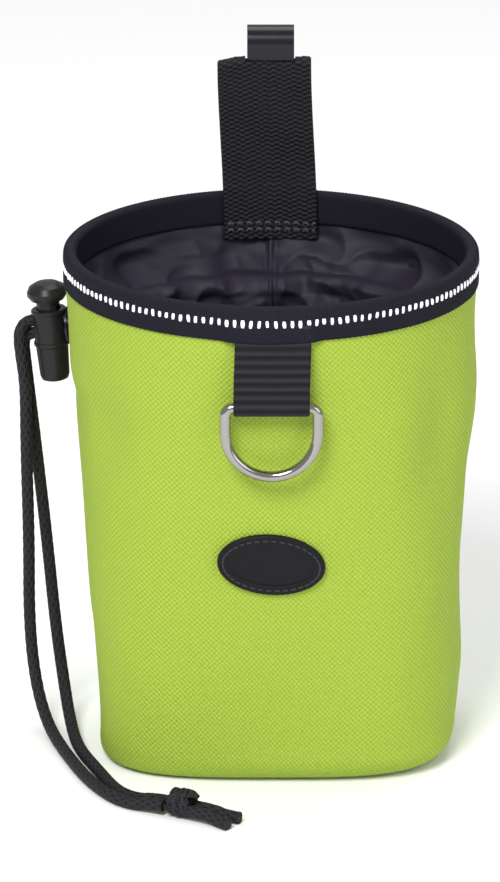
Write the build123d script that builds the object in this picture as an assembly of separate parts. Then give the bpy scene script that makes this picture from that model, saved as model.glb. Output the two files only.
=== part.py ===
from build123d import *
import os
from math import atan2, cos, degrees, hypot, pi, radians, sin, sqrt, tan

# Treat pouch: a stiff-rimmed fabric cup with a drawstring collar, a belt clip on a webbing
# strap, a D-ring on a webbing tab and a cord lock. Millimetres and degrees.
# The origin is the middle of the base on the floor. +Z is up and -Y is the front.

# ---- pouch body ----
height = 136.0              # floor to the top of the rim
rim_half_width = 53.6       # outer wall under the binding
rim_half_depth = 52.5
base_half_width = 48.0      # outer wall carried down to the floor
base_half_depth = 38.5
base_exponent = 3.6         # 2 is an ellipse, larger is boxier
rim_straight = 12.0         # height of the upright stretch under the rim
corner_radius = 7.0         # rounding between the wall and the base
wall_thick = 1.0
lining_thick = 0.4
layer_gap = 0.2             # between neighbouring layers of fabric
base_seam_inset = 4.5       # from the wall's outer face to the base panel's seam
seam_gap = 0.3

# ---- rim ----
binding_height = 9.0
binding_thick = 0.5
binding_edge_radius = 1.3
binding_fold_radius = 0.8
hoop_radius = 0.9
dash_width = 1.1
dash_height = 1.8
dash_thick = 0.15
dash_pitch = 2.1
dash_drop = 5.4             # from the rim's top to the middle of a dash

# ---- drawstring collar ----
collar_thick = 0.4
hem_inset = 9.0             # wall's outer face to the middle of the hem's channel
hem_channel = 4.4
hem_fabric = 0.8
hem_notch_width = 36.0      # where the cord leaves the hem
cord_ring_bulge = 0.2       # the loop's arcs pass inside its route's points

# ---- ring tab and D-ring ----
tab_width = 19.5
tab_length = 20.0           # below the binding
tab_webbing = 1.0
tab_standoff = 0.45
tab_tongue = 6.0            # tucked up under the binding
tab_pocket_gap = 0.35
ring_wire = 2.8
ring_side_gap = 0.7         # between the webbing's edge and the ring's side
ring_loop_gap = 0.3
ring_corner = 2.1           # on the wire's centre line
ring_depth = 18.5           # bar to the bottom, between centre lines

# ---- badge ----
badge_width = 28.0
badge_height = 17.0
badge_thick = 1.2
badge_level = 64.5
badge_turn = -5.0
badge_border = 2.8
badge_recess = 0.2
badge_stitches = 36

# ---- strap and belt clip ----
strap_width = 25.0
strap_webbing = 1.3
strap_height = 37.0         # above the rim
strap_foot = 13.0           # sewn length below the rim's top
hinge_rise = 4.2            # fold line above the rim's top
fold_gap = 0.25
clip_width = 12.5
clip_thick = 0.9
clip_gap = 0.15
clip_rise = 7.5             # above the top of the strap
belt_gap = 5.5
tongue_length = 34.0
tongue_flare = 5.0
tongue_lean = 1.0
spring_split = 0.2

# ---- cord lock ----
lock_azimuth = 10.0         # behind the left side
lock_tilt = 5.0             # the button leans away from the pouch
eyelet_level = 111.6
cord_radius = 1.6
cord_play = 0.15
cord_spacing = 3.5          # between the two strands, stacked in the lock
barrel_radius = 4.4
barrel_ridge = 0.3
barrel_foot_radius = 3.9
barrel_bottom = -14.9
barrel_top = 4.7
button_radius = 5.3
button_top = 12.1
lock_travel = 2.4
stem_radius = 3.1
stem_gap = 0.2
spring_radius = 2.3
spring_wire = 0.25
spring_turns = 5
eyelet_bore = 3.8
eyelet_wall = 0.3
eyelet_flange = 5.2         # its top stays under the pressed button
eyelet_sheet = 0.5
eyelet_standoff = 0.35      # the flat flange lies on a curved wall
washer_standoff = 0.5
lock_gap = 0.3
cord_start = 1.8            # from the lock's axis to where the free strands begin
cord_lead = 4.1             # first straight run of a free strand

# ---- free end of the drawcord ----
knot_centre = (-23.0, -60.0, 4.0)
knot_turn = -27.0
knot_half_length = 4.6
knot_radius = 3.95
knot_end_radius = 3.8
knot_sag = 1.2              # strands and tails enter below the knot's middle
tail_length = 11.0

# ---- derived sizes ----
taper_height = height - rim_straight
fabric_top = height - 2.7
lining_depth = wall_thick + layer_gap
collar_depth = lining_depth + lining_thick + layer_gap
binding_inner = collar_depth + collar_thick + layer_gap
binding_inset = binding_inner + binding_thick
binding_outset = layer_gap + binding_thick
rim_middle = (binding_inset - binding_outset) / 2
hinge_y = rim_half_depth - rim_middle
hinge_z = height + hinge_rise
strap_half = strap_webbing + clip_gap + clip_thick / 2
strap_top = height + strap_height
ring_bar_z = height - binding_height - tab_length + ring_wire / 2 + ring_loop_gap + tab_webbing
ring_half_width = tab_width / 2 + ring_corner
tab_loop = ring_wire / 2 + ring_loop_gap + tab_webbing


def body_size(z):
    """Half-width, half-depth and exponent of the wall's outer face at a height."""
    share = min(max((taper_height - z) / taper_height, 0.0), 1.0)
    half_width = rim_half_width + (base_half_width - rim_half_width) * share
    half_depth = rim_half_depth + (base_half_depth - rim_half_depth) * share
    return half_width, half_depth, 2.0 + (base_exponent - 2.0) * share


def outline_point(z, inset, angle):
    """Point of the body's outline at a polar angle, moved in from the wall's outer face."""
    half_width, half_depth, exponent = body_size(z)
    across = abs(cos(angle) / (half_width - inset)) ** exponent
    along = abs(sin(angle) / (half_depth - inset)) ** exponent
    reach = (across + along) ** (-1.0 / exponent)
    return (reach * cos(angle), reach * sin(angle), z)


def outline(z, inset, count=48):
    points = [outline_point(z, inset, 2 * pi * i / count) for i in range(count)]
    return Wire([Spline(*points, periodic=True)])


def stack(levels):
    """Solid through outlines given as (height, inset), from the lowest to the highest."""
    return Solid.make_loft([outline(z, inset) for z, inset in levels], ruled=True)


def body_layer(depth, top):
    """Everything inside a surface that lies this deep under the outer face, up to a height."""
    levels = []
    for angle in (90, 65, 45, 22, 0):
        drop = (corner_radius - depth) * sin(radians(angle))
        inset = corner_radius - (corner_radius - depth) * cos(radians(angle))
        levels.append((corner_radius - drop, inset))
    side = taper_height - corner_radius
    levels += [(corner_radius + side * share, depth) for share in (0.25, 0.5, 0.75, 1.0)]
    levels.append((top, depth))
    return stack(levels)


def rim_ring(outer_inset, inner_inset, low, high):
    """Upright oval ring in the straight stretch under the rim."""
    outer = Ellipse(rim_half_width - outer_inset, rim_half_depth - outer_inset)
    inner = Ellipse(rim_half_width - inner_inset, rim_half_depth - inner_inset)
    return Pos(0, 0, low) * extrude(outer - inner, high - low)


def block(low, high):
    size = [b - a for a, b in zip(low, high)]
    middle = [(a + b) / 2 for a, b in zip(low, high)]
    return Pos(*middle) * Box(*size)


def across_x(sketch, half_width):
    """Sketch drawn in (Y, Z), drawn out both ways along X."""
    return extrude(Plane.YZ * sketch, half_width, both=True)


def upright(length, radius, low):
    return Pos(0, 0, low) * Cylinder(radius, length, align=(Align.CENTER, Align.CENTER, Align.MIN))


# ---- place of the cord lock: local X leaves the pouch, local Z points to the button ----
lock_angle = radians(180.0 - lock_azimuth)
lock_out = Vector(cos(lock_angle), sin(lock_angle), 0)
lock_x = lock_out * cos(radians(lock_tilt)) - Vector(0, 0, 1) * sin(radians(lock_tilt))
lock_z = lock_out * sin(radians(lock_tilt)) + Vector(0, 0, 1) * cos(radians(lock_tilt))
wall_to_lock = eyelet_standoff + eyelet_sheet + lock_gap + barrel_radius + barrel_ridge
lock_centre = Vector(*outline_point(eyelet_level, 0, lock_angle)) + lock_x * wall_to_lock
lock_plane = Plane(origin=lock_centre, x_dir=lock_x, z_dir=lock_z)
lock_place = Location(lock_plane)
slot_half_height = cord_spacing / 2 + cord_radius + cord_play
slot_half_width = cord_radius + cord_play
fabric_hole_radius = eyelet_bore + eyelet_wall + layer_gap


def lock_point(x, y, z):
    return lock_plane.from_local_coords(Vector(x, y, z))


def along_cord_hole(radius, start, end):
    """Cylinder along the lock's cord hole, in the lock's own axes."""
    middle = (start + end) / 2
    return Pos(middle, 0, 0) * Rot(0, 90, 0) * Cylinder(radius, end - start)


# ---- fabric body ----
def outer_side_wall():
    wall = body_layer(0, fabric_top) - body_layer(wall_thick, fabric_top + 1)
    base_opening = stack([(-1, base_seam_inset), (wall_thick + 1, base_seam_inset)])
    hole = lock_place * along_cord_hole(fabric_hole_radius, -wall_to_lock - 4, -wall_to_lock + 4)
    return wall - base_opening - hole


def base_panel():
    inset = base_seam_inset + seam_gap
    return stack([(0, inset), (wall_thick, inset)])


def lining():
    cup = body_layer(lining_depth, fabric_top) - body_layer(lining_depth + lining_thick, fabric_top + 1)
    hole = lock_place * along_cord_hole(fabric_hole_radius, -wall_to_lock - 5, -wall_to_lock)
    return cup - hole


hem_z = lock_centre.Z + (wall_to_lock + hem_inset) * sin(radians(lock_tilt))
hem_half = hem_channel / 2 + hem_fabric


def drawstring_collar():
    shoulder = height - strap_foot - 0.5
    hem_top = hem_z + hem_half
    outer_levels = [
        (hem_top, hem_inset - hem_half),
        ((hem_top + shoulder) / 2, (hem_inset - hem_half + collar_depth) / 2),
        (shoulder, collar_depth),
        (fabric_top, collar_depth),
    ]
    inner_levels = [(z, inset + collar_thick) for z, inset in outer_levels]
    inner_levels[-1] = (fabric_top + 1, collar_depth + collar_thick)
    funnel = stack(outer_levels) - stack(inner_levels)
    low = hem_z - hem_half
    hem = stack([(low, hem_inset - hem_half), (hem_top, hem_inset - hem_half)])
    hem -= stack([(low - 1, hem_inset + hem_half), (hem_top + 1, hem_inset + hem_half)])
    half = hem_channel / 2
    channel = stack([(hem_z - half, hem_inset - half), (hem_z + half, hem_inset - half)])
    channel -= stack([(hem_z - half - 1, hem_inset + half), (hem_z + half + 1, hem_inset + half)])
    notch_depth = hem_inset + half - collar_depth + layer_gap
    notch_middle = -wall_to_lock - collar_depth + layer_gap - notch_depth / 2
    notch = Pos(notch_middle, 0, 0) * Box(notch_depth, hem_notch_width, 2 * slot_half_height + 0.6)
    return funnel + (hem - channel) - lock_place * notch


# ---- rim ----
bump_half_width = tab_width / 2 + 1.2
bump_back = rim_half_depth + tab_standoff - tab_pocket_gap
bump_inner = rim_half_depth + tab_standoff + tab_webbing + tab_pocket_gap / 2
bump_face = bump_inner + binding_thick


def rim_binding():
    low = height - binding_height
    tape = rim_ring(-binding_outset, binding_inset, low, height)
    tape = fillet(tape.edges().filter_by(lambda e: e.center().Z > height - 0.01), binding_edge_radius)
    space = rim_ring(-layer_gap, binding_inner, low - 1, height - binding_thick)
    top_edges = space.edges().filter_by(lambda e: e.center().Z > height - binding_thick - 0.01)
    space = fillet(top_edges, binding_fold_radius)
    bump = block((-bump_half_width, -bump_face, low), (bump_half_width, -rim_half_depth + 2, height - 2.5))
    wall_side = Pos(0, 0, low - 1) * extrude(
        Ellipse(rim_half_width + layer_gap, rim_half_depth + layer_gap), binding_height + 2
    )
    pocket_half = tab_width / 2 + tab_pocket_gap
    pocket_top = low + tab_tongue + tab_pocket_gap
    pocket = block((-pocket_half, -bump_inner, low - 1), (pocket_half, -bump_back, pocket_top))
    return tape - space + (bump - wall_side) - pocket


def rim_hoop():
    hoop_z = height - binding_thick - layer_gap - hoop_radius
    oval = Ellipse(rim_half_width - rim_middle, rim_half_depth - rim_middle)
    path = Pos(0, 0, hoop_z) * oval.edge()
    start = Plane(origin=path @ 0, z_dir=path % 0)
    return sweep(start * Circle(hoop_radius), path=path)


def rim_walk(half_width, half_depth, pitch):
    """Evenly spaced points and outward directions round an oval, starting at the back."""
    steps = 7200
    walked = 0.0
    wanted = pitch / 2
    last = (0.0, half_depth)
    for i in range(1, steps + 1):
        angle = pi / 2 + 2 * pi * i / steps
        point = (half_width * cos(angle), half_depth * sin(angle))
        walked += hypot(point[0] - last[0], point[1] - last[1])
        last = point
        if walked >= wanted:
            wanted += pitch
            yield point, degrees(atan2(sin(angle) / half_depth, cos(angle) / half_width))


def reflective_stripe():
    """Dashes on the binding's outer face, over the bump of the ring tab, but not under the strap."""
    seat = 0.01
    z = height - dash_drop
    dashes = []
    face = (rim_half_width + binding_outset, rim_half_depth + binding_outset)
    for (x, y), turn in rim_walk(*face, dash_pitch):
        in_front = y < 0 and abs(x) < bump_half_width + dash_width
        behind_strap = y > 0 and abs(x) < strap_width / 2 + dash_width
        if in_front or behind_strap:
            continue
        dash = Pos(dash_thick / 2 + seat, 0, 0) * Box(dash_thick, dash_width, dash_height)
        dashes.append(Pos(x, y, z) * Rot(0, 0, turn) * dash)
    count = int(bump_half_width / dash_pitch)
    for i in range(-count, count + 1):
        dash = Box(dash_width, dash_thick, dash_height)
        dashes.append(Pos(i * dash_pitch, -bump_face - dash_thick / 2 - seat, z) * dash)
    return Compound(children=dashes)


# ---- front: ring tab, D-ring and badge ----
ring_bar_y = -(body_size(ring_bar_z)[1] + ring_loop_gap + tab_loop)


def ring_tab():
    back = -rim_half_depth - tab_standoff
    top = height - binding_height - layer_gap
    root = Pos(back - tab_webbing, top - tab_webbing) * Rectangle(2 * tab_webbing, 2 * tab_webbing)
    loop = Pos(ring_bar_y, ring_bar_z) * Circle(tab_loop)
    eye = Pos(ring_bar_y, ring_bar_z) * Circle(tab_loop - tab_webbing)
    throat = Pos(back - tab_webbing, ring_bar_z + 3.2 * tab_loop) * Circle(0.1)
    sides = make_hull((root + loop).edges())
    inside = make_hull((eye + throat).edges())
    tongue = Pos(back - tab_webbing / 2, top + tab_tongue / 2) * Rectangle(tab_webbing, tab_tongue)
    return across_x(sides - inside, tab_width / 2) + across_x(tongue, tab_width / 2)


def d_ring():
    """Wire D: a straight bar through the tab, two sides and a half round."""
    half = ring_half_width
    side_z = -(ring_depth - half)
    diagonal = ring_corner * (1 - sqrt(0.5))

    def at(x, z):
        return (x, ring_bar_y, ring_bar_z + z)

    path = Wire([
        Line(at(-half + ring_corner, 0), at(half - ring_corner, 0)),
        ThreePointArc(at(half - ring_corner, 0), at(half - diagonal, -diagonal), at(half, -ring_corner)),
        Line(at(half, -ring_corner), at(half, side_z)),
        ThreePointArc(at(half, side_z), at(0, -ring_depth), at(-half, side_z)),
        Line(at(-half, side_z), at(-half, -ring_corner)),
        ThreePointArc(at(-half, -ring_corner), at(-half + diagonal, -diagonal), at(-half + ring_corner, 0)),
    ])
    start = Plane(origin=at(-half + ring_corner, 0), z_dir=(1, 0, 0))
    return sweep(start * Circle(ring_wire / 2), path=path)


wall_slope = degrees(atan2(rim_half_depth - base_half_depth, taper_height))
badge_plane = Plane(
    origin=(0, -body_size(badge_level)[1] - 0.05, badge_level),
    x_dir=(1, 0, 0),
    z_dir=(0, -cos(radians(wall_slope)), -sin(radians(wall_slope))),
)
badge_place = Location(badge_plane) * Rot(0, 0, badge_turn)


def badge():
    plate = extrude(Ellipse(badge_width / 2, badge_height / 2), badge_thick)
    plate = fillet(plate.edges().group_by(Axis.Z)[-1], 0.45)
    floor = Ellipse(badge_width / 2 - badge_border, badge_height / 2 - badge_border)
    return badge_place * (plate - Pos(0, 0, badge_thick - badge_recess) * extrude(floor, 1))


def badge_stitching():
    half_width = (badge_width - badge_border) / 2
    half_height = (badge_height - badge_border) / 2
    stitches = []
    for i in range(badge_stitches):
        angle = 2 * pi * i / badge_stitches
        x = half_width * cos(angle)
        y = half_height * sin(angle)
        turn = degrees(atan2(half_height * cos(angle), -half_width * sin(angle)))
        stitch = Box(1.2, 0.4, 0.2, align=(Align.CENTER, Align.CENTER, Align.MIN))
        stitches.append(badge_place * Pos(x, y, badge_thick) * Rot(0, 0, turn) * stitch)
    return Compound(children=stitches)


# ---- back: strap and belt clip ----
strap_inner = binding_inset + layer_gap
strap_outer = binding_outset + layer_gap


def strap_sewn_ends():
    """Both ends of the webbing, sewn to the rim's faces and to each other over its top."""
    low = height - strap_foot
    bridge = height + layer_gap
    top = hinge_z - strap_half - fold_gap
    ends = rim_ring(strap_inner, strap_inner + strap_webbing, low, bridge)
    ends += rim_ring(-strap_outer - strap_webbing, -strap_outer, low, bridge)
    ends += rim_ring(-strap_outer - strap_webbing, strap_inner + strap_webbing, bridge, top)
    window = block((-strap_width / 2, 0, 0), (strap_width / 2, 2 * rim_half_depth, top + 1))
    return ends & window


def strap_bartacks():
    """Two rows of dense stitches across the sewn inner end."""
    face = strap_inner + strap_webbing
    stitches = []
    for drop in (8.6, 10.4):
        for i in range(-7, 8):
            x = 1.6 * i
            y = (rim_half_depth - face) * sqrt(1 - (x / (rim_half_width - face)) ** 2)
            turn = degrees(atan2(-x / (rim_half_width - face) ** 2, y / (rim_half_depth - face) ** 2))
            stitch = Pos(0, -0.12, 0) * Box(0.9, 0.2, 1.4)
            stitches.append(Pos(x, y, height - drop) * Rot(0, 0, turn) * stitch)
    return Compound(children=stitches)


def strap_loop():
    """Free part of the strap: two leaves that close over the clip's leg, round at the fold line."""
    low = Pos(hinge_y, hinge_z) * Circle(strap_half)
    high = Pos(hinge_y, strap_top - strap_half) * Circle(strap_half)
    body = across_x(make_hull((low + high).edges()), strap_width / 2)
    slit = clip_thick / 2 + clip_gap
    floor = hinge_z + strap_half + 0.6
    pocket = block(
        (-strap_width, hinge_y - slit, floor), (strap_width, hinge_y + slit, strap_top - strap_webbing)
    )
    mouth_half = clip_width / 2 + 0.3
    mouth = block((-mouth_half, hinge_y - slit, floor), (mouth_half, hinge_y + slit, strap_top + 1))
    return body - pocket - mouth


clip_foot = hinge_z + strap_half + 0.9
tongue_y = hinge_y + strap_half + belt_gap
bend_inner = (tongue_y - hinge_y - clip_thick / 2) / 2
bend_y = (tongue_y + hinge_y + clip_thick / 2) / 2
bend_z = strap_top + clip_rise - bend_inner - clip_thick


def belt_clip():
    """Spring-steel leg between the strap's leaves, and the bend over its top."""
    arch = Circle(bend_inner + clip_thick) - Circle(bend_inner)
    arch &= Pos(0, bend_inner + clip_thick) * Rectangle(4 * bend_inner, 2 * (bend_inner + clip_thick))
    leg = Pos(hinge_y, (clip_foot + bend_z) / 2) * Rectangle(clip_thick, bend_z - clip_foot)
    return across_x(Pos(bend_y, bend_z) * arch + leg, clip_width / 2)


def belt_clip_tongue():
    """Free spring leg behind the strap, leaning in and flared at its tip."""
    top = bend_z - spring_split
    knee = (tongue_y - tongue_lean, bend_z - tongue_length + tongue_flare)
    tip = (knee[0] + 0.45 * tongue_flare, bend_z - tongue_length)
    inner = [(tongue_y, top), knee, tip]
    outer = [(y + clip_thick, z) for y, z in reversed(inner)]
    return across_x(make_face(Polyline(*inner, *outer, close=True)), clip_width / 2)


# ---- cord lock and eyelet ----
def turned(points):
    """Solid of revolution about Z from (radius, height) points."""
    face = make_face(Polyline(*[(r, 0, z) for r, z in points], close=True))
    return revolve(face, Axis.Z)


def cord_eyelet():
    face = -wall_to_lock
    tube_end = face - lining_depth - lining_thick - washer_standoff - eyelet_sheet
    flange_face = face + eyelet_standoff + eyelet_sheet
    ring = along_cord_hole(eyelet_flange, face + eyelet_standoff, flange_face)
    ring += along_cord_hole(eyelet_bore + eyelet_wall, tube_end, flange_face)
    return lock_place * (ring - along_cord_hole(eyelet_bore, tube_end - 1, face + 2))


def cord_eyelet_washer():
    face = -wall_to_lock - lining_depth - lining_thick - washer_standoff
    ring = along_cord_hole(eyelet_flange, face - eyelet_sheet, face)
    return lock_place * (ring - along_cord_hole(eyelet_bore + eyelet_wall + 0.1, face - 2, face + 1))


stem_bore = stem_radius + stem_gap
bore_floor = barrel_bottom + 1.3
spring_seat = -slot_half_height - 1.6
stem_bottom = spring_seat - lock_travel - 0.4


def cord_lock_barrel():
    ridge = barrel_radius + barrel_ridge
    shell = turned([
        (0, barrel_bottom),
        (barrel_foot_radius - 1.3, barrel_bottom),
        (barrel_foot_radius - 0.4, barrel_bottom + 0.4),
        (barrel_foot_radius, barrel_bottom + 1.4),
        (barrel_radius - 0.1, -5.4),
        (ridge, -5.0),
        (ridge, -4.2),
        (barrel_radius, -4.0),
        (barrel_radius, 3.6),
        (ridge, 3.8),
        (ridge, barrel_top - 0.3),
        (ridge - 0.3, barrel_top),
        (0, barrel_top),
    ])
    bore = upright(barrel_top + 1 - stem_bottom, stem_bore, stem_bottom)
    spring_well = upright(stem_bottom + 1 - bore_floor, spring_radius + spring_wire + stem_gap, bore_floor)
    cord_hole = Box(4 * barrel_radius, 2 * slot_half_width, 2 * slot_half_height)
    return lock_place * (shell - bore - spring_well - cord_hole)


def cord_lock_plunger():
    """Mushroom button and its stem, with a cord slot tall enough for the travel."""
    head_low = barrel_top + lock_travel + stem_gap
    profile = [
        (0, spring_seat),
        (stem_radius, spring_seat),
        (stem_radius, head_low),
        (barrel_radius + 0.1, head_low),
        (button_radius, button_top - 3.6),
        (button_radius, button_top - 2.6),
        (button_radius - 0.7, button_top - 1.2),
        (button_radius - 2.3, button_top - 0.3),
        (0, button_top),
    ]
    slot_height = 2 * slot_half_height + lock_travel
    slot = Pos(0, 0, lock_travel / 2) * Box(4 * barrel_radius, 2 * slot_half_width, slot_height)
    return lock_place * (turned(profile) - slot)


def cord_lock_spring():
    low = bore_floor + spring_wire + 0.05
    height_free = spring_seat - spring_wire - 0.05 - low
    path = Helix(height_free / spring_turns, height_free, spring_radius)
    start = Plane(origin=path @ 0, z_dir=path % 0)
    return lock_place * Pos(0, 0, low) * sweep(start * Circle(spring_wire), path=path)


# ---- cords ----
def corner_turn(before, corner, after):
    return radians((corner - before).get_angle(after - corner))


def corner_radius_rule(before, corner, after):
    """Largest arc that leaves a tenth of the shorter run straight."""
    shorter = min((corner - before).length, (after - corner).length)
    return 0.45 * shorter / tan(corner_turn(before, corner, after) / 2)


def tube(name, points, radii=None):
    """Round cord along straight runs joined by tangent arcs."""
    points = [Vector(*p) if isinstance(p, tuple) else p for p in points]
    corners = list(zip(points, points[1:], points[2:]))
    radii = radii or [corner_radius_rule(*corner) for corner in corners]
    path = FilletPolyline(*points, radius=radii)
    start = Plane(origin=points[0], z_dir=points[1] - points[0])
    solid = sweep(start * Circle(cord_radius), path=path)
    expected = pi * cord_radius**2 * path.length
    runs = [(b - a).length for a, b in zip(points, points[1:])]
    turns = [degrees(corner_turn(*corner)) for corner in corners]
    print(name, "length", round(path.length, 1), "volume", round(solid.volume / expected, 4))
    print("  radii", [round(r, 1) for r in radii])
    print("  turns", [round(t) for t in turns])
    print("  runs", [round(r, 1) for r in runs])
    return solid


def drawcord_loop():
    """Round the hem's channel, then both ends out through the eyelet and the lock."""
    ring = []
    first, last, count = 22.0, 338.0, 30
    for i in range(count):
        angle = lock_angle + radians(first + (last - first) * i / (count - 1))
        ring.append(Vector(*outline_point(hem_z, hem_inset - cord_ring_bulge, angle)))
    half = cord_spacing / 2
    approach_x = -wall_to_lock - hem_inset - 0.4
    corner_x = -wall_to_lock - 2.5
    start = [
        lock_point(cord_start, 0, half),
        lock_point(corner_x, 0, half),
        lock_point(approach_x, 6.5, half / 2),
    ]
    end = [
        lock_point(approach_x, -6.5, -half / 2),
        lock_point(corner_x, 0, -half),
        lock_point(cord_start, 0, -half),
    ]
    points = start + ring + end
    corners = list(zip(points, points[1:], points[2:]))
    radii = [corner_radius_rule(*corner) for corner in corners]
    radii[0] = radii[-1] = 5.0
    return tube("drawcord_loop", points, radii)


knot_along = Vector(cos(radians(knot_turn)), sin(radians(knot_turn)), 0)
knot_across = Vector(-knot_along.Y, knot_along.X, 0)
knot_middle = Vector(*knot_centre)
knot_low = Vector(0, 0, -knot_sag)
knot_entry = knot_middle - knot_along * knot_half_length + knot_low
knot_exit = knot_middle + knot_along * knot_half_length + knot_low
floor_z = cord_radius + 0.1


def knot_approach(end):
    """Last points of a strand: off the floor and level into the knot."""
    level = end - knot_along * 4.4
    landing = level - knot_along * 5.0
    return [Vector(landing.X, landing.Y, floor_z), level, end]


def drawcord_strand_outer():
    """From the top of the lock's hole, down outside and along the floor to the knot."""
    free = [
        (-66.4, 8.8, 109.8),
        (-66.0, 7.8, 104.7),
        (-64.7, 8.2, 95.0),
        (-64.8, 8.0, 79.0),
        (-64.3, 8.8, 52.0),
        (-64.6, 10.2, 28.0),
        (-63.0, 8.6, 11.0),
        (-59.5, -1.5, 2.6),
        (-54.5, -19.0, floor_z),
        (-48.0, -38.5, floor_z),
        (-41.5, -50.5, floor_z),
    ]
    start = [lock_point(x, 0, cord_spacing / 2) for x in (cord_start, cord_start + cord_lead)]
    end = knot_entry - knot_across * cord_spacing / 2
    return tube("drawcord_strand_outer", start + free + knot_approach(end))


def drawcord_strand_inner():
    """From the bottom of the lock's hole, hanging nearer to the pouch, to the knot."""
    free = [
        (-65.4, 13.3, 106.0),
        (-65.0, 13.6, 101.3),
        (-63.9, 12.7, 91.5),
        (-62.2, 12.4, 76.0),
        (-59.6, 12.6, 50.0),
        (-57.6, 11.8, 27.0),
        (-55.4, 9.6, 10.5),
        (-53.4, -0.5, 2.6),
        (-51.0, -16.0, floor_z),
        (-45.4, -32.0, floor_z),
        (-40.2, -46.5, floor_z),
    ]
    start = [lock_point(x, 0, -cord_spacing / 2) for x in (cord_start, cord_start + cord_lead)]
    end = knot_entry + knot_across * cord_spacing / 2
    return tube("drawcord_strand_inner", start + free + knot_approach(end))


def drawcord_knot():
    """Outer shape of the overhand knot tied in both strands."""
    half = knot_half_length
    body = turned([
        (0, -half),
        (knot_end_radius, -half),
        (knot_radius, -0.5 * half),
        (knot_radius, 0.5 * half),
        (knot_end_radius, half),
        (0, half),
    ])
    return Location(Plane(origin=knot_middle, z_dir=knot_along)) * body


def drawcord_tails():
    tails = []
    for side, spread, length in ((-1, -1.4, tail_length - 0.8), (1, 0.6, tail_length)):
        start = knot_exit + knot_across * side * cord_spacing / 2
        level = start + knot_along * 3.4
        landing = start + knot_along * 7.4 + knot_across * spread * 0.4
        end = start + knot_along * length + knot_across * spread
        on_floor = [Vector(point.X, point.Y, floor_z) for point in (landing, end)]
        tails.append(tube("drawcord_tail", [start, level] + on_floor))
    return Compound(children=tails)


nodes = {
    "outer_side_wall": outer_side_wall,
    "base_panel": base_panel,
    "lining": lining,
    "drawstring_collar": drawstring_collar,
    "rim_binding": rim_binding,
    "reflective_stripe": reflective_stripe,
    "rim_hoop": rim_hoop,
    "ring_tab": ring_tab,
    "d_ring": d_ring,
    "badge": badge,
    "badge_stitching": badge_stitching,
    "strap_sewn_ends": strap_sewn_ends,
    "strap_bartacks": strap_bartacks,
    "strap_loop": strap_loop,
    "belt_clip": belt_clip,
    "belt_clip_tongue": belt_clip_tongue,
    "cord_eyelet": cord_eyelet,
    "cord_eyelet_washer": cord_eyelet_washer,
    "cord_lock_barrel": cord_lock_barrel,
    "cord_lock_plunger": cord_lock_plunger,
    "cord_lock_spring": cord_lock_spring,
    "drawcord_loop": drawcord_loop,
    "drawcord_strand_outer": drawcord_strand_outer,
    "drawcord_strand_inner": drawcord_strand_inner,
    "drawcord_knot": drawcord_knot,
    "drawcord_tails": drawcord_tails,
}

os.makedirs("parts", exist_ok=True)
for node, make in nodes.items():
    export_step(make(), "parts/" + node + ".step")
print("fold line", round(hinge_y, 2), round(hinge_z, 2))
print("ring bar", round(ring_bar_y, 2), round(ring_bar_z, 2))
print("tongue pivot", round(tongue_y + clip_thick / 2, 2), round(bend_z, 2))
print("lock centre", lock_centre, "lock axis", lock_z, "hem level", round(hem_z, 2))
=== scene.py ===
import math
import random

import bpy
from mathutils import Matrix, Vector, noise


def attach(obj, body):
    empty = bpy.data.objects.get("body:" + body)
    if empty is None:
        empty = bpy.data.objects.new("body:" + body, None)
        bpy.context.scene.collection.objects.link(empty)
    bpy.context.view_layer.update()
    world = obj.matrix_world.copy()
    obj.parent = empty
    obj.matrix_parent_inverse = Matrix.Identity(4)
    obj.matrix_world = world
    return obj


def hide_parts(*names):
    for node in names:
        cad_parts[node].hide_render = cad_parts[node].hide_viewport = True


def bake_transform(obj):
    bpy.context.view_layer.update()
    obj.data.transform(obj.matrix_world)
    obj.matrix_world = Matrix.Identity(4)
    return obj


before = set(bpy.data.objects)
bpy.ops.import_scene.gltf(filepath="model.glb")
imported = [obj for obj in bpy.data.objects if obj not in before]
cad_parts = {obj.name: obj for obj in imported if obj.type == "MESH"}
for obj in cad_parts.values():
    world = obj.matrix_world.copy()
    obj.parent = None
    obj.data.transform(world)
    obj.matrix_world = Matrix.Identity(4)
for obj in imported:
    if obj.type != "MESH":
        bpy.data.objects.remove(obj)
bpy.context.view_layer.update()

# Looks of the treat pouch. Lengths are in millimetres until a mesh is made, in metres.
MM = 0.001
FULL_TURN = 2 * math.pi
draw = random.Random(11)

# Sizes and places that the CAD part has too.
RIM_X = 53.6                # half-width and half-depth of the wall under the rim
RIM_Y = 52.5
BASE_X = 48.0               # the same, carried down to the floor
BASE_Y = 38.5
TAPER = 124.0               # height where the wall turns upright
CORNER = 7.0                # rounding between the wall and the base
BINDING_LOW = 127.0
HINGE_Y = 51.4              # fold line of the strap
STRAP_TOP = 173.0
RING_BAR = (-53.89, 109.7)  # Y and Z of the D-ring's bar
CORD_RADIUS = 1.6
FLOOR_Z = 1.7               # middle of a cord that lies on the floor


def smooth(low, high, value):
    t = min(max((value - low) / (high - low), 0.0), 1.0)
    return t * t * (3 - 2 * t)


def bell(middle, width, value):
    return math.exp(-((value - middle) / width) ** 2)


# ---- camera ----
TARGET = Vector((-0.0055, 0.0, 0.0823))
DISTANCE = 1.8
ELEVATION = math.radians(19.0)
camera_data = bpy.data.cameras.new("camera")
camera_data.lens = 278.8
camera_data.sensor_width = 36.0
camera = bpy.data.objects.new("camera", camera_data)
bpy.context.scene.collection.objects.link(camera)
camera.location = TARGET + DISTANCE * Vector((0, -math.cos(ELEVATION), math.sin(ELEVATION)))
camera.rotation_euler = (TARGET - camera.location).to_track_quat("-Z", "Y").to_euler()
bpy.context.scene.camera = camera


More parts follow.
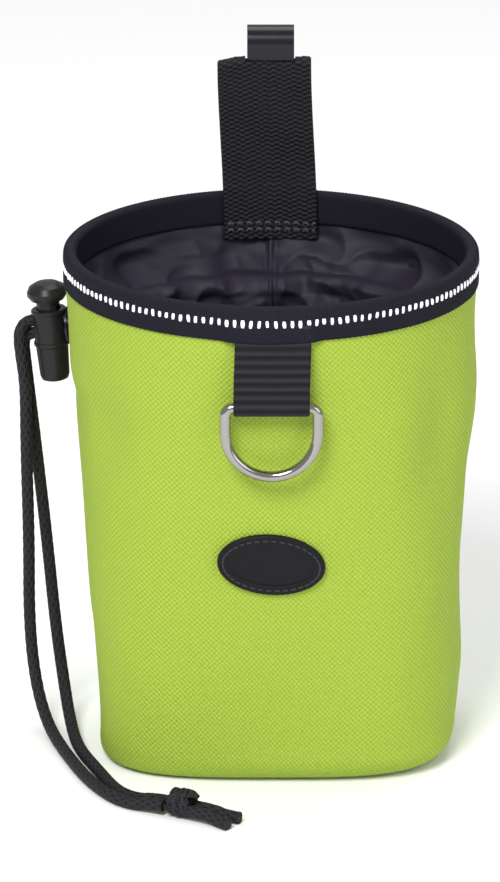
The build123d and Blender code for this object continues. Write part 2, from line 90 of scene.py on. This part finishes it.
# ---- materials ----
def material(name, color, rough, metallic=0.0, specular=0.5):
    made = bpy.data.materials.new(name)
    made.use_nodes = True
    shader = made.node_tree.nodes["Principled BSDF"]
    shader.inputs["Base Color"].default_value = (*color, 1)
    shader.inputs["Roughness"].default_value = rough
    shader.inputs["Metallic"].default_value = metallic
    shader.inputs["Specular IOR Level"].default_value = specular
    return made


def math_node(tree, kind, first, second=None):
    node = tree.nodes.new("ShaderNodeMath")
    node.operation = kind
    for socket, value in zip(node.inputs, (first, second)):
        if isinstance(value, (int, float)):
            socket.default_value = value
        elif value is not None:
            tree.links.new(value, socket)
    return node.outputs[0]


def weave(made, pitch_u, pitch_v, depth, shade_contrast, diagonal=False):
    """Crossed threads that follow the piece's own (u, v, rise) attribute, in metres; the colour
    gets painted shade in the deep threads and a painted highlight on the raised ones.
    """
    tree = made.node_tree
    attribute = tree.nodes.new("ShaderNodeAttribute")
    attribute.attribute_name = "lay"
    split = tree.nodes.new("ShaderNodeSeparateXYZ")
    tree.links.new(attribute.outputs["Vector"], split.inputs[0])
    u, v = split.outputs[0], split.outputs[1]
    if diagonal:
        u, v = math_node(tree, "ADD", u, v), math_node(tree, "SUBTRACT", u, v)
    waves = []
    for value, pitch in ((u, pitch_u), (v, pitch_v)):
        turned = math_node(tree, "MULTIPLY", value, FULL_TURN / (pitch * MM))
        waves.append(math_node(tree, "SINE", turned))
    crossed = math_node(tree, "MULTIPLY", waves[0], waves[1])
    blotch = tree.nodes.new("ShaderNodeTexNoise")
    blotch.inputs["Scale"].default_value = 900.0
    tree.links.new(attribute.outputs["Vector"], blotch.inputs["Vector"])
    uneven = math_node(tree, "MULTIPLY", blotch.outputs["Fac"], 0.45)
    raised = math_node(tree, "MULTIPLY", split.outputs[2], 1.3 / MM)
    height = math_node(tree, "ADD", math_node(tree, "ADD", crossed, uneven), raised)
    bump = tree.nodes.new("ShaderNodeBump")
    bump.inputs["Distance"].default_value = depth * MM
    tree.links.new(height, bump.inputs["Height"])
    shader = tree.nodes["Principled BSDF"]
    tree.links.new(bump.outputs[0], shader.inputs["Normal"])
    color = shader.inputs["Base Color"].default_value[:3]
    mix = tree.nodes.new("ShaderNodeMix")
    mix.data_type = "RGBA"
    # Sockets 6 and 7 are the mix's two colours: deep threads in painted shade and raised ones with
    # a painted highlight.
    mix.inputs[6].default_value = (*[c * (1 - shade_contrast) for c in color], 1)
    mix.inputs[7].default_value = (*[min(c * (1 + shade_contrast), 1) for c in color], 1)
    # The height sets the colour: low threads and rib hollows get painted shade, high ones a painted
    # highlight; the noise in it is real uneven tone.
    share = math_node(tree, "MULTIPLY", height, 0.5)
    tree.links.new(math_node(tree, "ADD", share, 0.3), mix.inputs[0])
    tree.links.new(mix.outputs[2], shader.inputs["Base Color"])
    return made


# In each weave call the number after the bump depth sets how strong the painted shade in deep
# threads and the painted highlight on raised ones are.
green = weave(
    material("green_canvas", (0.315, 0.435, 0.045), 0.8, specular=0.3),
    1.45, 1.45, 0.10, 0.17,
)
taffeta = weave(
    material("taffeta", (0.019, 0.016, 0.028), 0.55, specular=0.25),
    0.5, 0.5, 0.02, 0.12,
)
tape = weave(
    material("binding_tape", (0.012, 0.011, 0.018), 0.7, specular=0.1),
    1.0, 0.6, 0.05, 0.3,
)
webbing = weave(
    material("webbing", (0.018, 0.016, 0.021), 0.6, specular=0.18),
    0.7, 0.5, 0.05, 0.95,
)
braid = weave(
    material("braid", (0.024, 0.022, 0.027), 0.6, specular=0.2),
    0.9, 0.9, 0.06, 0.95, True,
)
reflective = material("reflective_yarn", (0.86, 0.87, 0.89), 0.4)
thread = material("thread", (0.03, 0.03, 0.034), 0.5, specular=0.3)
nickel = material("nickel", (0.34, 0.325, 0.31), 0.12, metallic=1.0)
steel = material("spring_steel", (0.5, 0.5, 0.5), 0.3, metallic=1.0)
gloss_black = material("gloss_black", (0.008, 0.007, 0.012), 0.2, specular=0.3)
rubber = material("rubber", (0.008, 0.008, 0.010), 0.5, specular=0.14)
plastic = material("lock_plastic", (0.012, 0.012, 0.014), 0.34, specular=0.25)

for node, made in {
    "d_ring": nickel, "rim_hoop": steel, "cord_lock_spring": steel, "belt_clip": gloss_black,
    "belt_clip_tongue": gloss_black, "badge": rubber, "badge_stitching": thread,
    "cord_eyelet": gloss_black, "cord_eyelet_washer": gloss_black,
    "cord_lock_barrel": plastic, "cord_lock_plunger": plastic, "drawcord_loop": braid,
}.items():
    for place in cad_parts[node].material_slots:
        place.material = made


# ---- mesh helpers ----
def add_mesh(name, points, faces, made, lay=None):
    mesh = bpy.data.meshes.new(name)
    mesh.from_pydata([[c * MM for c in p] for p in points], [], faces)
    mesh.materials.append(made)
    mesh.polygons.foreach_set("use_smooth", [True] * len(mesh.polygons))
    if lay:
        attribute = mesh.attributes.new("lay", "FLOAT_VECTOR", "POINT")
        attribute.data.foreach_set("vector", [c * MM for p in lay for c in p])
    piece = bpy.data.objects.new(name, mesh)
    bpy.context.scene.collection.objects.link(piece)
    return piece


def grid(name, rows, made, lay=None, around=True, closed=False, keep=None, caps=False):
    """Quads through rows of points; around joins each row's ends, closed joins the last row."""
    wide = len(rows[0])
    points = [p for row in rows for p in row]
    faces = []
    for i in range(len(rows) if closed else len(rows) - 1):
        below = (i + 1) % len(rows)
        for j in range(wide if around else wide - 1):
            k = (j + 1) % wide
            face = (i * wide + j, i * wide + k, below * wide + k, below * wide + j)
            if keep is None or keep(Vector(points[face[0]])):
                faces.append(face)
    if caps:
        faces.append(tuple(range(wide)))
        faces.append(tuple(reversed(range((len(rows) - 1) * wide, len(rows) * wide))))
    flat = [p for row in lay for p in row] if lay else None
    return add_mesh(name, points, faces, made, flat)


def heading(spaced, i):
    """Direction of a route at one of its evenly spaced points."""
    before, after = spaced[max(i - 1, 0)][0], spaced[min(i + 1, len(spaced) - 1)][0]
    return (after - before).normalized()


def walk(points, step):
    """Evenly spaced points along a polyline, with their distances."""
    points = [Vector(p) for p in points]
    lengths = [(b - a).length for a, b in zip(points, points[1:])]
    count = max(2, round(sum(lengths) / step))
    spaced = []
    index, passed = 0, 0.0
    for i in range(count + 1):
        wanted = sum(lengths) * i / count
        while index < len(lengths) - 1 and passed + lengths[index] < wanted:
            passed += lengths[index]
            index += 1
        share = min((wanted - passed) / lengths[index], 1.0)
        spaced.append((points[index].lerp(points[index + 1], share), wanted))
    return spaced


def rounded(points, times):
    """Corner cutting that keeps both ends."""
    points = [Vector(p) for p in points]
    for _ in range(times):
        cut = [points[0]]
        for a, b in zip(points, points[1:]):
            cut += [a.lerp(b, 0.25), a.lerp(b, 0.75)]
        points = cut + [points[-1]]
    return points


# ---- cords ----
def nurbs_route(points):
    """Points along one smooth open spline through the cord's route, in millimetres."""
    data = bpy.data.curves.new("route", "CURVE")
    data.dimensions = "3D"
    data.resolution_u = 24
    spline = data.splines.new("NURBS")
    spline.points.add(len(points) - 1)
    for place, point in zip(spline.points, points):
        place.co = (*[c * MM for c in point], 1)
    spline.order_u = 3
    spline.use_endpoint_u = True
    holder = bpy.data.objects.new("route", data)
    mesh = bpy.data.meshes.new_from_object(holder)
    found = [vertex.co / MM for vertex in mesh.vertices]
    bpy.data.objects.remove(holder)
    bpy.data.meshes.remove(mesh)
    return found


CORD_STEP = 0.3             # between the rings of points along a cord
CORD_AROUND = 24
PLAITS = 6
PLAIT_LENGTH = 6.4          # along the cord for a whole turn


def cord_mesh(name, route, radius=CORD_RADIUS):
    """Round braided cord: two families of raised strands cross over its surface."""
    spaced = walk(route, CORD_STEP)
    rows, lay = [], []
    along = (spaced[1][0] - spaced[0][0]).normalized()
    side = along.orthogonal().normalized()
    for i, (point, distance) in enumerate(spaced):
        along = heading(spaced, i)
        side = (side - along * side.dot(along)).normalized()
        up = along.cross(side)
        turn = FULL_TURN * distance / PLAIT_LENGTH
        row, flat = [], []
        for j in range(CORD_AROUND):
            angle = FULL_TURN * j / CORD_AROUND
            ridge = max(math.sin(PLAITS * angle + turn * 2), math.sin(PLAITS * angle - turn * 2))
            reach = radius * (0.965 + 0.05 * ridge)
            row.append(point + side * (reach * math.cos(angle)) + up * (reach * math.sin(angle)))
            # The third value raises the strand crests, which the weave gives a painted highlight
            # and the hollows painted shade.
            flat.append((distance, angle * radius, 0.5 * (ridge - 0.6)))
        rows.append(row)
        lay.append(flat)
    return grid(name, rows, braid, lay, caps=True)


STRAND_OFFSET = 1.75        # each strand from the middle of the pair
KNOT_HALF = 4.6
KNOT_ENTRY_DROP = Vector((0, 0, -1.2))
TAIL_OVERLAP = 1.5          # how far a tail starts inside the knot
lock_angle = math.radians(170.0)
tilt = math.radians(5.0)
lock_out = Vector((math.cos(lock_angle), math.sin(lock_angle), 0))
lock_x = lock_out * math.cos(tilt) - Vector((0, 0, math.sin(tilt)))
lock_z = lock_out * math.sin(tilt) + Vector((0, 0, math.cos(tilt)))
lock_centre = Vector((-58.1638, 10.2559, 111.09))
knot_turn = math.radians(-27.0)
knot_along = Vector((math.cos(knot_turn), math.sin(knot_turn), 0))
knot_across = Vector((-knot_along.y, knot_along.x, 0))
knot_middle = Vector((-23.0, -60.0, 4.0))
knot_entry = knot_middle - knot_along * KNOT_HALF + KNOT_ENTRY_DROP
knot_exit = knot_middle + knot_along * KNOT_HALF + KNOT_ENTRY_DROP


def strand_route(side, free):
    """From the lock's hole by the free points to the knot; side is 1 for the outer strand."""
    shift = side * STRAND_OFFSET
    start = [lock_centre + lock_x * reach + lock_z * shift for reach in (1.8, 5.9)]
    end = knot_entry - knot_across * shift
    level = end - knot_along * 4.4
    landing = level - knot_along * 5.0
    return start + [Vector(p) for p in free] + [Vector((landing.x, landing.y, FLOOR_Z)), level, end]


outer_route = strand_route(1, [
    (-66.4, 8.8, 109.8), (-66.0, 7.8, 104.7), (-64.7, 8.2, 95.0), (-64.8, 8.0, 79.0),
    (-64.3, 8.8, 52.0), (-64.6, 10.2, 28.0), (-63.0, 8.6, 11.0), (-59.5, -1.5, 2.6),
    (-54.5, -19.0, FLOOR_Z), (-48.0, -38.5, FLOOR_Z), (-41.5, -50.5, FLOOR_Z),
])
inner_route = strand_route(-1, [
    (-65.4, 13.3, 106.0), (-65.0, 13.6, 101.3), (-63.9, 12.7, 91.5), (-62.2, 12.4, 76.0),
    (-59.6, 12.6, 50.0), (-57.6, 11.8, 27.0), (-55.4, 9.6, 10.5), (-53.4, -0.5, 2.6),
    (-51.0, -16.0, FLOOR_Z), (-45.4, -32.0, FLOOR_Z), (-40.2, -46.5, FLOOR_Z),
])

for name, side, spread, reach in (("tail_short", -1, -1.4, 10.2), ("tail_long", 1, 0.6, 11.0)):
    start = knot_exit + knot_across * (side * STRAND_OFFSET)
    landing = start + knot_along * 7.4 + knot_across * (spread * 0.4)
    end = start + knot_along * reach + knot_across * spread
    route = [start - knot_along * TAIL_OVERLAP, start + knot_along * 3.4]
    route += [Vector((p.x, p.y, FLOOR_Z)) for p in (landing, end)]
    tail = cord_mesh(name, nurbs_route(route))
    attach(tail, "pouch")
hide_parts("drawcord_tails")


# The knot: the doubled cord winds round itself, and one turn crosses over the others.
KNOT_CORD_RADIUS = 1.62
WRAP_TURNS = 1.35
WRAP_LENGTH = 6.0
CROSSING_LENGTH = 5.2


def about_knot(along, across, up):
    return knot_middle + knot_along * along + knot_across * across + Vector((0, 0, up))


wraps = []
for phase in (0.0, math.pi):
    coil = []
    for i in range(61):
        share = i / 60
        angle = phase + share * FULL_TURN * WRAP_TURNS
        radius = 2.25 - 0.5 * abs(2 * share - 1) ** 3
        along = (share - 0.5) * WRAP_LENGTH
        coil.append(about_knot(along, radius * math.cos(angle), radius * math.sin(angle)))
    wraps.append(coil)
crossing = []
for i in range(41):
    share = i / 40
    angle = math.pi * (0.05 + 0.9 * share)
    along = (0.5 - share) * CROSSING_LENGTH
    crossing.append(about_knot(along, 2.3 * math.cos(angle), 2.2 * math.sin(angle)))
for name, route in (
    ("knot_wrap_a", wraps[0]),
    ("knot_wrap_b", wraps[1]),
    ("knot_crossing", crossing),
):
    piece = cord_mesh(name, route, KNOT_CORD_RADIUS)
    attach(piece, "pouch")
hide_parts("drawcord_knot")

for name, route, node, length in (
    ("strand_outer", outer_route, "drawcord_strand_outer", 0.188),
    ("strand_inner", inner_route, "drawcord_strand_inner", 0.181),
):
    path = nurbs_route(route)
    strand = cord_mesh(name, path)
    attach(strand, "pouch")
    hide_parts(node)


# ---- fabric body ----
def outline_point(z, inset, angle):
    """The pouch's outline at a polar angle, moved in from the wall's outer face."""
    share = min(max((TAPER - z) / TAPER, 0.0), 1.0)
    wide = RIM_X + (BASE_X - RIM_X) * share - inset
    deep = RIM_Y + (BASE_Y - RIM_Y) * share - inset
    power = 2.0 + 1.6 * share
    across = abs(math.cos(angle) / wide) ** power
    reach = (across + abs(math.sin(angle) / deep) ** power) ** (-1 / power)
    return Vector((reach * math.cos(angle), reach * math.sin(angle), z))


def round_noise(angle, spread, height):
    """Smooth noise that closes up round the pouch; spread is how fine it is."""
    return noise.noise(Vector((math.cos(angle) * spread, math.sin(angle) * spread, height)))


def slump(z, angle):
    """How far the soft wall stands out of its plain outline: the cord's side pulls in."""
    signed = math.remainder(angle, FULL_TURN)
    left = max(-math.cos(angle), 0.0) ** 2
    right = max(math.cos(angle), 0.0) ** 2
    held = smooth(106, 97, z)
    pulled = -(1.5 + 1.5 * smooth(55, 15, z)) * left * held
    full = (1.3 * bell(98, 13, z) + 1.3 * bell(22, 20, z)) * right
    ripple = round_noise(angle, 2.2, z * 0.028) * 0.9
    fine = round_noise(angle, 6, z * 0.07 + 5) * 0.3
    badge_side = 1 - smooth(0.55, 0.9, -math.sin(angle)) * 0.75
    # Three shallow dents on the front, two beside the badge and one low at its right.
    dent = -2.0 * bell(-0.62, 0.17, signed) * bell(92, 17, z)
    dent -= 1.8 * bell(-2.5, 0.16, signed) * bell(96, 14, z)
    dent -= 1.2 * bell(-0.5, 0.3, signed) * bell(30, 22, z)
    loose = (ripple + fine) * badge_side + dent
    return pulled + full + loose * smooth(128, 108, z) * smooth(0, 12, z)


BODY_RADIUS = 50.0          # turns an angle into a length for the weave


def cup(name, levels, made, count=360, shape=None):
    """Round mesh through (height, inset) levels; shape moves each point out."""
    rows, lay = [], []
    passed = 0.0
    last = levels[0]
    for z, inset in levels:
        passed += math.hypot(z - last[0], inset - last[1])
        last = (z, inset)
        row, flat = [], []
        for j in range(count):
            angle = FULL_TURN * j / count
            point = outline_point(z, inset, angle)
            if shape:
                out = Vector((point.x, point.y, 0)).normalized()
                point = point + out * shape(z, angle)
            row.append(point)
            flat.append((abs(math.remainder(angle, FULL_TURN)) * BODY_RADIUS, passed, 0))
        rows.append(row)
        lay.append(flat)
    return grid(name, rows, made, lay)


def disc(name, z, inset, made, count):
    """Flat middle of a base, inside its last ring."""
    ring = [outline_point(z, inset, FULL_TURN * j / count) for j in range(count)]
    return add_mesh(name, ring, [tuple(range(count))], made, ring)


def dense(levels, step=1.0):
    """The same levels with more of them in between."""
    spaced = walk([(z, inset, 0) for z, inset in levels], step)
    return [(p.x, p.y) for p, _ in spaced]


def wall_levels(depth, top):
    """Levels of a layer that lies this deep in the wall, down to the end of its corner."""
    levels = [(top, depth)]
    for degree in range(0, 91, 10):
        angle = math.radians(degree)
        reach = CORNER - depth
        levels.append((CORNER - reach * math.sin(angle), CORNER - reach * math.cos(angle)))
    return levels


WALL_TOP = 133.0            # up inside the binding
WALL_THICK = 0.9
BASE_EDGE = (0.15, 6.6)     # height and inset of the base panel's edge
BASE_RISE = 0.5             # the panel's middle lies a little off the floor
BASE_REACH = 30.0
LINING_DEPTH = 1.5
LINING_TOP = 130.0
LINING_FLOOR = 1.6


def wall_shape(z, angle):
    return slump(z, angle) * smooth(0, 6, z)


wall = cup("outer_wall", dense(wall_levels(0, WALL_TOP)), green, shape=wall_shape)
thicken = wall.modifiers.new("thickness", "SOLIDIFY")
thicken.thickness = WALL_THICK * MM
first_face = wall.data.polygons[0]
thicken.offset = -1 if first_face.normal.dot(first_face.center) > 0 else 1
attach(wall, "pouch")
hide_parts("outer_side_wall")

base_levels = []
for i in range(13):
    share = 1 - i / 12
    base_levels.append((BASE_EDGE[0] + BASE_RISE * share, BASE_EDGE[1] + BASE_REACH * share))
base = cup("base", base_levels, green)
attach(base, "pouch")
base_middle = disc("base_middle", *base_levels[0], green, 360)
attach(base_middle, "pouch")
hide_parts("base_panel")


def lining_shape(z, angle):
    ripple = round_noise(angle, 4, z * 0.05) * 1.2
    return wall_shape(z, angle) - abs(ripple) * smooth(2, 10, z) * smooth(128, 112, z)


lining_levels = dense(wall_levels(LINING_DEPTH, LINING_TOP), 1.5)
inside = cup("inside", lining_levels, taffeta, shape=lining_shape)
floor_levels = [(LINING_FLOOR, 7.0 + 3.0 * i) for i in range(11)]
lining_floor = cup("inside_floor", floor_levels, taffeta, 180)
for piece in (inside, lining_floor):
    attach(piece, "pouch")
floor_middle = disc("inside_middle", *floor_levels[-1], taffeta, 180)
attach(floor_middle, "pouch")
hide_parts("lining")

# The collar leans in to its hem and is slack, with a seam down the middle of the back.
HEM_Z = 112.4
HEM_IN = 9.0                # from the wall's outer face to the middle of the hem's channel
HEM_HALF = 3.0


def collar_shape(z, angle):
    """Folds, gathers and the seam; at both sides the collar hangs clear of the binding."""
    slack = smooth(129, 120, z)
    back = angle - math.pi / 2
    across = math.cos(angle) * BODY_RADIUS
    slant = Vector((across * 0.09 + z * 0.05, z * 0.10 - across * 0.04, 7))
    lens = 1 - abs(round_noise(angle, 3.4, z * 0.085 + 2)) * 2.6
    slanted = 1 - abs(noise.noise(slant)) * 3.2
    gather = math.sin(angle * 40 + 3 * math.sin(angle * 5)) * 0.22 * smooth(121, 113, z)
    corners = sum(
        bell(middle, width, angle)
        for middle, width in ((math.pi + 0.12, 0.26), (FULL_TURN - 0.1, 0.2), (-0.1, 0.2))
    )
    seam = 0.7 * bell(0, 0.010, back) - 0.5 * bell(0.028, 0.016, abs(back))
    folds = 2.0 * lens + 1.2 * slanted + gather
    return -folds * slack - 7.0 * corners * smooth(128.5, 122, z) - seam * smooth(134, 130, z)


collar_levels = [(132.5, 2.0), (123.0, 2.2), (119.0, 3.6), (115.4, 6.4)]
for degree in range(100, -41, -20):
    turn = math.radians(degree)
    collar_levels.append((HEM_Z + HEM_HALF * math.sin(turn), HEM_IN + HEM_HALF * math.cos(turn)))
collar_levels += [(107.5, 11.8), (102.0, 12.6), (95.0, 11.5), (90.0, 9.0)]
collar = cup("collar", dense(collar_levels, 0.7), taffeta, 720, collar_shape)
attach(collar, "pouch")
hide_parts("drawstring_collar")


# ---- binding and its reflective dashes ----
def rim_frame(angle):
    """Point of the rim's wall line and its outward direction."""
    out = Vector((math.cos(angle) / RIM_X, math.sin(angle) / RIM_Y, 0)).normalized()
    return Vector((RIM_X * math.cos(angle), RIM_Y * math.sin(angle), 0)), out


def tab_bump(point, z):
    """How far the binding stands out over the ring tab."""
    if point.y > 0:
        return 0.0
    return 1.42 * smooth(13.6, 9.6, abs(point.x)) * smooth(135.5, 129.5, z)


# Cross-section of the tape: (out from the wall, height), up the outside, over and down.
BINDING_OUT = 0.7
BINDING_IN = 2.9
EDGE_RADIUS = 1.3
EDGE_Z = 134.7
FACE_STEP = 0.72
RIM_RADIUS = 53.0           # turns an angle into a length for the weave
profile = [(0.2, BINDING_LOW), (0.72, 127.1)]
profile += [(0.75, 127.6 + FACE_STEP * i) for i in range(10)]
for middle, degrees in (
    (BINDING_OUT - EDGE_RADIUS, range(0, 91, 15)),
    (-BINDING_IN + EDGE_RADIUS, range(90, 181, 15)),
):
    for degree in degrees:
        turn = math.radians(degree)
        profile.append(
            (middle + EDGE_RADIUS * math.cos(turn), EDGE_Z + EDGE_RADIUS * math.sin(turn))
        )
profile += [(-2.92, 133.8 - FACE_STEP * i) for i in range(9)]
profile += [(-BINDING_IN, 127.1), (-2.4, BINDING_LOW), (-2.3, WALL_TOP), (0.1, WALL_TOP)]
RIBS = 330
STEPS = 6                   # columns of points to a rib
RIB_DEPTH = 0.13
columns, binding_lay = [], []
for i in range(RIBS * STEPS):
    angle = FULL_TURN * i / (RIBS * STEPS)
    point, out = rim_frame(angle)
    rib = 0.5 - 0.5 * math.cos(FULL_TURN * i / STEPS)
    sway = 0.12 * noise.noise(Vector((point.x * 0.12, point.y * 0.12, 3)))
    column, flat = [], []
    for k, (reach, z) in enumerate(profile):
        on_face = 0 < k < len(profile) - 3
        sink = -RIB_DEPTH * rib * (1 if reach > -1 else -1) if on_face else 0.0
        grown = tab_bump(point, z) if reach > 0.15 else 0.0
        level = z + (sway if z < 128 else 0.0) - (0.07 * rib if z > 135.5 else 0.0)
        column.append(point + out * (reach + sink + grown) + Vector((0, 0, level)))
        flat.append((angle * RIM_RADIUS, z, 0))
    columns.append(column)
    binding_lay.append(flat)
binding = grid("binding", columns, tape, binding_lay, closed=True)
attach(binding, "pouch")
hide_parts("rim_binding")

DASH_Z = 132.1
DASH_COUNT = 164
DASH_SECTIONS = 5
STRAP_CLEAR = 13.6          # no dashes under the strap
dash_points, dash_faces = [], []
for i in range(DASH_COUNT):
    angle = math.pi / 2 + FULL_TURN * (i + 0.5) / DASH_COUNT
    angle += draw.uniform(-0.0020, 0.0020)
    point, out = rim_frame(angle)
    if point.y > 0 and abs(point.x) < STRAP_CLEAR:
        continue
    along = Vector((-out.y, out.x, 0))
    level = DASH_Z + draw.uniform(-0.1, 0.1)
    half_w = 0.56 + draw.uniform(-0.1, 0.06)
    half_h = 0.86 + draw.uniform(-0.12, 0.1)
    lean = draw.uniform(-0.12, 0.12)
    first = len(dash_points)
    for s in range(DASH_SECTIONS):
        t = -1 + 2 * s / (DASH_SECTIONS - 1)
        bulge = 0.16 * (1 - t * t) + 0.02
        narrow = half_w * (1 - 0.3 * t * t)
        for side, lift in ((-1, -0.14), (-0.6, bulge), (0.6, bulge), (1, -0.14)):
            place = point + along * (side * narrow + lean * t)
            place = place + Vector((0, 0, level + half_h * t))
            dash_points.append(place + out * (0.8 + lift + tab_bump(place, place.z)))
    for s in range(DASH_SECTIONS - 1):
        for side in range(3):
            a = first + s * 4 + side
            dash_faces.append((a, a + 1, a + 5, a + 4))
dashes = add_mesh("reflective_dashes", dash_points, dash_faces, reflective)
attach(dashes, "pouch")
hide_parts("reflective_stripe")


# ---- webbing ----
WEB_STEP = 0.14             # between the rows of points along webbing
WEB_WIDE = 76               # spaces between points across it


def webbing_mesh(
    name, path, half_width, half_thick, rib_pitch, rib_depth, blocks, place, keep=None
):
    """Flat webbing along a (Y, Z) path with ribs across it, in blocks that are out of step."""
    spaced = walk([(0, y, z) for y, z in path], WEB_STEP)
    offsets = [i % 2 + draw.uniform(-0.25, 0.25) for i in range(blocks)]
    rows, lay = [], []
    for i, (point, distance) in enumerate(spaced):
        along = heading(spaced, i)
        normal = Vector((0, -along.z, along.y))
        row, flat = [], []
        for face in (1, -1):
            for j in range(WEB_WIDE + 1):
                share = (-1 + 2 * j / WEB_WIDE) * face
                x = half_width * math.copysign(abs(share) ** 0.9, share)
                block = min(int((x + half_width) / (2 * half_width) * blocks), blocks - 1)
                edge = max(abs(x) - half_width + half_thick, 0) / half_thick
                thick = half_thick * math.sqrt(max(1 - edge * edge, 0.02))
                wave = math.sin(FULL_TURN * (distance / rib_pitch + offsets[block] * 0.5))
                thick *= 1 - rib_depth * (0.5 - 0.5 * wave)
                flatpoint = Vector((x, point.y, point.z)) + normal * (thick * face)
                row.append(place(flatpoint))
                # The third value follows the ribs, which the weave gives a painted highlight on
                # their crests and painted shade in their hollows.
                flat.append((x, distance, 0.5 * wave - 0.2))
        rows.append(row)
        lay.append(flat)
    return grid(name, rows, webbing, lay, keep=keep, caps=keep is None)


TAB_HALF = 9.75
TAB_LOOP = 2.2              # middle of the tab's webbing round the D-ring's bar
TAB_LOOP_RISE = 0.4


def tab_place(point):
    sag = 0.25 * (point.x / TAB_HALF) ** 2 * smooth(108, 116, point.z)
    return point + Vector((0.35 * smooth(112, 128, point.z), sag, 0))


tab_path = [(-53.45, 132.0), (-53.45, 127.2), (-54.4, 124.6)]
for degree in range(0, 181, 12):
    turn = math.radians(180 + degree)
    tab_path.append((
        RING_BAR[0] + TAB_LOOP * math.cos(turn),
        RING_BAR[1] + TAB_LOOP_RISE + TAB_LOOP * math.sin(turn),
    ))
tab_path += [(-53.35, 118.0), (-53.4, 126.6)]
tab_path = [(p.x, p.y) for p in rounded([(y, z, 0) for y, z in tab_path], 1)]
tab = webbing_mesh(
    "tab",
    tab_path,
    half_width=TAB_HALF,
    half_thick=0.55,
    rib_pitch=2.3,
    rib_depth=0.55,
    blocks=1,
    place=tab_place,
)
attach(tab, "pouch")
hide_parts("ring_tab")

LEAF_OFFSET = 1.25          # middle of each of the strap's leaves from the fold line's plane
LEAF_BEND_Z = 171.1
MOUTH_DROP = 1.15           # the clip comes out through a slit in the strap's top
MOUTH_HALF = 6.6


def rim_curve(x):
    """How far the rim falls back at a place across the strap."""
    return RIM_Y * (1 - math.sqrt(1 - (x / RIM_X) ** 2))


def strap_place(point):
    """Follows the rim below the fold line, leans to the left above it and droops at its corner."""
    held = smooth(143.0, 137.0, point.z)
    lean = -1.7 * smooth(126, 172, point.z)
    droop = -1.1 * smooth(-6.2, -12.5, point.x) * smooth(160, 172, point.z)
    free = smooth(140, 146, point.z) * smooth(172, 166, point.z)
    ripple = 0.2 * math.sin(point.z * 0.35 + point.x * 0.2) * free
    return point + Vector((lean, -rim_curve(point.x) * held + ripple, droop))


def beside_mouth(point):
    return not (point.z > STRAP_TOP - MOUTH_DROP and abs(point.x) < MOUTH_HALF)


strap_path = [(54.05, 123.3), (54.05, 136.4), (52.65, 140.5), (52.65, 171.0)]
for degree in range(10, 180, 10):
    turn = math.radians(degree)
    strap_path.append((
        HINGE_Y + LEAF_OFFSET * math.cos(turn),
        LEAF_BEND_Z + LEAF_OFFSET * math.sin(turn),
    ))
strap_path += [(50.15, 171.0), (50.15, 140.5), (48.7, 136.4), (48.7, 123.3)]
strap_path = [(p.x, p.y) for p in rounded([(y, z, 0) for y, z in strap_path], 2)]
strap = webbing_mesh(
    "strap",
    strap_path,
    half_width=12.5,
    half_thick=0.68,
    rib_pitch=1.25,
    rib_depth=0.5,
    blocks=19,
    place=strap_place,
    keep=beside_mouth,
)
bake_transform(strap)
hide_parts("strap_sewn_ends", "strap_loop")

# Two rows of slanting stitches on the strap's inner end.
TACK_PITCH = 1.25
TACK_IN = 4.4               # from the wall's outer face
tack_points, tack_faces = [], []
for row_z in (127.4, 125.6):
    for i in range(-9, 10):
        x = TACK_PITCH * i
        y = RIM_Y - rim_curve(x) - TACK_IN
        lean = 0.45 if i % 2 else -0.45
        first = len(tack_points)
        for t in (-1, -0.5, 0.5, 1):
            lift = -0.28 if abs(t) < 1 else 0.1
            for side in (-0.28, 0.28):
                tack_points.append(Vector((x + side + lean * t, y + lift, row_z + 0.75 * t)))
        for k in range(3):
            a = first + 2 * k
            tack_faces.append((a, a + 1, a + 3, a + 2))
tacks = add_mesh("bartacks", tack_points, tack_faces, thread)
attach(tacks, "pouch")
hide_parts("strap_bartacks")

# ---- floor, background and light ----
FLOOR_SIZE = 2.4
BACKDROP = 0.5              # extra brightness that only the camera sees
bpy.ops.mesh.primitive_plane_add(size=FLOOR_SIZE)
floor = bpy.context.object
floor.name = "floor"
floor.data.materials.append(material("floor_white", (0.95, 0.95, 0.955), 0.9))

world = bpy.data.worlds.new("studio")
bpy.context.scene.world = world
world.use_nodes = True
tree = world.node_tree
tree.nodes["Background"].inputs["Color"].default_value = (1, 1, 1, 1)
light_path = tree.nodes.new("ShaderNodeLightPath")
boost = math_node(tree, "MULTIPLY", light_path.outputs["Is Camera Ray"], BACKDROP)
tree.links.new(math_node(tree, "ADD", boost, 0.5), tree.nodes["Background"].inputs["Strength"])

LIGHT_AIM = Vector((0, 0, 0.08))


def area_light(name, place, size, power):
    data = bpy.data.lights.new(name, "AREA")
    data.size = size
    data.energy = power
    lamp = bpy.data.objects.new(name, data)
    bpy.context.scene.collection.objects.link(lamp)
    lamp.location = place
    lamp.rotation_euler = (LIGHT_AIM - lamp.location).to_track_quat("-Z", "Y").to_euler()


area_light("key", Vector((-0.35, -0.95, 1.05)), 0.5, 17.0)
area_light("fill", Vector((0.9, -0.8, 0.6)), 0.8, 4.0)
area_light("top", Vector((0.1, 0.5, 1.3)), 0.8, 6.0)

bpy.context.scene.view_settings.view_transform = "Standard"
